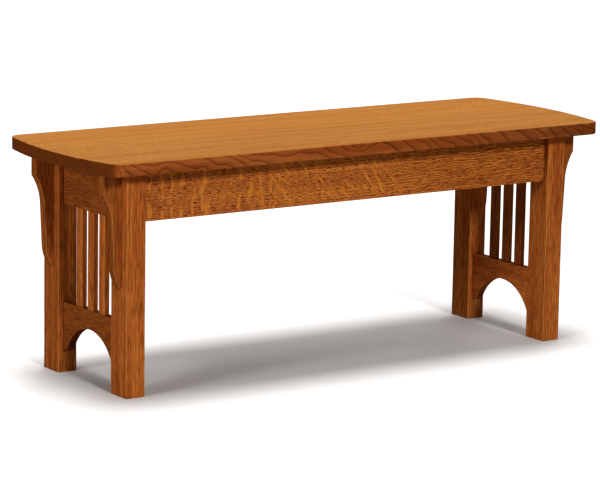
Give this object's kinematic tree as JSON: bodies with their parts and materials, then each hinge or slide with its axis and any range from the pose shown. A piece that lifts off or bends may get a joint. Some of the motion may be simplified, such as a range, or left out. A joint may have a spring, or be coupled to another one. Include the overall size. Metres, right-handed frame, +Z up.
{
  "type": "backless bench",
  "caption": "Backless oak bench with bowed seat ends, slatted ends over arched low rails, and slim corbels under the overhang.",
  "frame": {"origin": "on the floor, under the middle of the seat", "axes": "+X along the seat to the right end, +Y from front to back, +Z up"},
  "size_m": [1.1938, 0.4064, 0.4572],
  "materials": {
    "seat_oak": "stained and satin varnished",
    "frame_oak": "stained and satin varnished",
    "apron_oak": "quartersawn, stained and satin varnished",
    "bare_oak": "planed, unfinished",
    "beech": "turned, unfinished",
    "screw_steel": "zinc plated"
  },
  "bodies": {
    "root": {"seat_board_1": "seat_oak", "seat_board_2": "seat_oak", "seat_board_3": "seat_oak", "seat_board_4": "seat_oak", "leg_front_left": "frame_oak", "leg_front_right": "frame_oak", "leg_back_left": "frame_oak", "leg_back_right": "frame_oak", "apron_front": "apron_oak", "apron_back": "apron_oak", "end_rail_top_left": "frame_oak", "end_rail_top_right": "frame_oak", "end_rail_bottom_left": "frame_oak", "end_rail_bottom_right": "frame_oak", "slat_left_front": "frame_oak", "slat_left_middle": "frame_oak", "slat_left_back": "frame_oak", "slat_right_front": "frame_oak", "slat_right_middle": "frame_oak", "slat_right_back": "frame_oak", "corbel_front_left": "frame_oak", "corbel_front_right": "frame_oak", "corbel_back_left": "frame_oak", "corbel_back_right": "frame_oak", "corner_block_front_left": "bare_oak", "corner_block_front_right": "bare_oak", "corner_block_back_left": "bare_oak", "corner_block_back_right": "bare_oak", "cross_rail": "bare_oak", "seat_buttons": "bare_oak", "corbel_dowels": "beech", "button_screws": "screw_steel", "block_screws": "screw_steel", "cross_rail_screws": "screw_steel"}
  },
  "joints": []
}
